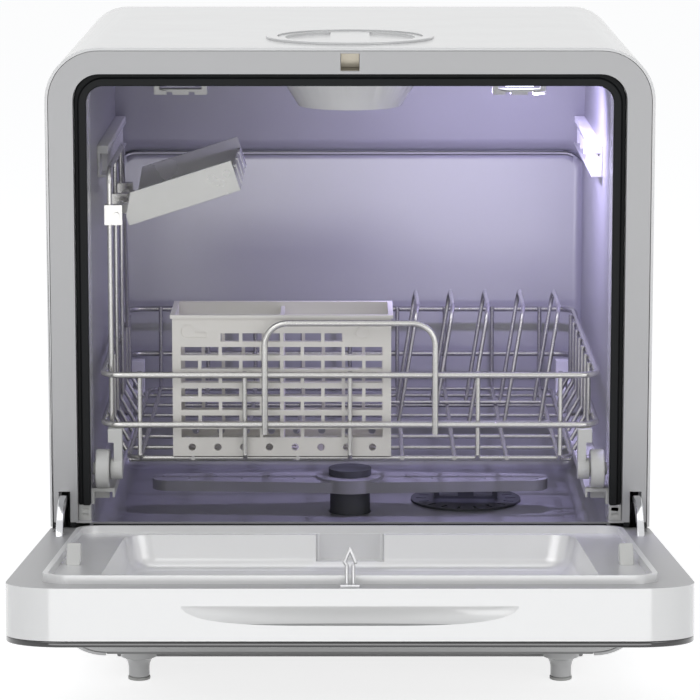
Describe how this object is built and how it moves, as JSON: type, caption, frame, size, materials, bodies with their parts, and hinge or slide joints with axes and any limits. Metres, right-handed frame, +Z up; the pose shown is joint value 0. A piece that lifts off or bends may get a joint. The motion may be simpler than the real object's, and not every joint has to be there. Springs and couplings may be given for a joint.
{
  "type": "countertop dishwasher",
  "caption": "Compact worktop dishwasher with a drop-down door, a roll-out wire rack, a cutlery basket, a folding cup shelf, a spray arm and a filler cap.",
  "frame": {"origin": "on the worktop, at the bottom centre of the box round the machine with its door open", "axes": "+X to the right of someone facing the door, +Y to the machine's back, +Z up"},
  "size_m": [0.42, 0.775, 0.4566],
  "materials": {
    "shell_white": "gloss",
    "frame_grey": "satin",
    "rubber_black": "matte",
    "tub_grey": "satin",
    "plastic_grey": "matte",
    "plastic_dark": "matte",
    "steel": "brushed",
    "chrome": "polished",
    "wire_coat": "coated",
    "basket_grey": "matte",
    "shelf_clear": "satin",
    "panel_black": "gloss",
    "lens": "clear",
    "board_green": "matte",
    "tank_white": "translucent"
  },
  "bodies": {
    "cabinet": {"outer_shell": "shell_white", "front_frame": "frame_grey", "plinth": "shell_white", "base_tray": "plastic_grey", "rear_panel": "steel", "panel_screws": "steel", "feet": "shell_white", "foot_pads": "rubber_black", "leak_pan": "plastic_dark", "tub": "tub_grey", "door_gasket": "rubber_black", "sill_seal": "rubber_black", "gasket_ends": "plastic_grey", "track_left": "plastic_grey", "track_right": "plastic_grey", "upper_rail_left": "plastic_grey", "upper_rail_right": "plastic_grey", "lamp_bracket_left": "plastic_grey", "lamp_bracket_right": "plastic_grey", "lamp_lens": "lens", "latch_catch": "plastic_dark", "fill_funnel": "shell_white", "fill_duct": "plastic_grey", "water_tank": "tank_white", "sump": "plastic_dark", "spray_hub": "plastic_dark", "wash_pump": "plastic_grey", "drain_pump": "plastic_grey", "heater": "steel", "pipework": "rubber_black", "power_board": "board_green", "hinge_brackets": "steel", "rear_inlet": "steel", "drain_spigot": "plastic_dark", "cord_gland": "rubber_black"},
    "door": {"door_frame": "shell_white", "door_panel": "panel_black", "door_liner": "tub_grey", "stop_blocks": "plastic_grey", "latch_striker": "steel", "hinge_arms": "chrome", "hinge_pins": "steel"},
    "rack": {"rack_rails": "wire_coat", "rack_front_wires": "wire_coat", "rack_side_wires": "wire_coat", "rack_back_wires": "wire_coat", "rack_floor": "wire_coat", "rack_handle": "wire_coat", "rack_uprights": "wire_coat", "plate_tines": "wire_coat", "wheel_brackets": "plastic_grey"},
    "wheel_front_left": {"wheel_front_left": "plastic_grey"},
    "wheel_front_right": {"wheel_front_right": "plastic_grey"},
    "wheel_rear_left": {"wheel_rear_left": "plastic_grey"},
    "wheel_rear_right": {"wheel_rear_right": "plastic_grey"},
    "cutlery_basket": {"cutlery_basket": "basket_grey"},
    "cup_shelf": {"cup_shelf": "shelf_clear"},
    "spray_arm": {"spray_arm": "plastic_grey"},
    "filter": {"filter": "plastic_dark"},
    "fill_cap": {"fill_cap": "shell_white"}
  },
  "joints": [
    {"name": "door_hinge", "type": "hinge", "parent": "cabinet", "child": "door", "pos_m": [0, -0.03753, 0.105], "axis": [-1, 0, 0], "range_deg": [0, 83]},
    {"name": "rack_slide", "type": "slide", "parent": "cabinet", "child": "rack", "axis": [0, 1, 0], "range_m": [-0.222, 0]},
    {"name": "wheel_front_left_spin", "type": "hinge", "parent": "rack", "child": "wheel_front_left", "pos_m": [-0.174, -0.00252, 0.1567], "axis": [1, 0, 0], "range_deg": [0, 930]},
    {"name": "wheel_front_right_spin", "type": "hinge", "parent": "rack", "child": "wheel_front_right", "pos_m": [0.174, -0.00252, 0.1567], "axis": [1, 0, 0], "range_deg": [0, 930]},
    {"name": "wheel_rear_left_spin", "type": "hinge", "parent": "rack", "child": "wheel_rear_left", "pos_m": [-0.174, 0.27348, 0.1567], "axis": [1, 0, 0], "range_deg": [0, 930]},
    {"name": "wheel_rear_right_spin", "type": "hinge", "parent": "rack", "child": "wheel_rear_right", "pos_m": [0.174, 0.27348, 0.1567], "axis": [1, 0, 0], "range_deg": [0, 930]},
    {"name": "basket_lift", "type": "slide", "parent": "rack", "child": "cutlery_basket", "axis": [0, 0, -1], "range_m": [-0.055, 0]},
    {"name": "shelf_fold", "type": "hinge", "parent": "rack", "child": "cup_shelf", "pos_m": [-0.1635, 0.01148, 0.335], "axis": [0, -1, 0], "range_deg": [0, 32]},
    {"name": "spray_arm_spin", "type": "hinge", "parent": "cabinet", "child": "spray_arm", "pos_m": [0, 0.15147, 0.11], "axis": [0, 0, 1], "continuous": true},
    {"name": "filter_twist", "type": "hinge", "parent": "cabinet", "child": "filter", "pos_m": [0.088, 0.19148, 0.092], "axis": [0, 0, 1], "range_deg": [-60, 0]},
    {"name": "cap_lift", "type": "slide", "parent": "cabinet", "child": "fill_cap", "axis": [0, 0, -1], "range_m": [-0.06, 0]}
  ],
  "couplings": [
    {"joint": "wheel_front_left_spin", "follows": "rack_slide", "rad_per_m": -72.993},
    {"joint": "wheel_front_right_spin", "follows": "rack_slide", "rad_per_m": -72.993},
    {"joint": "wheel_rear_left_spin", "follows": "rack_slide", "rad_per_m": -72.993},
    {"joint": "wheel_rear_right_spin", "follows": "rack_slide", "rad_per_m": -72.993}
  ]
}
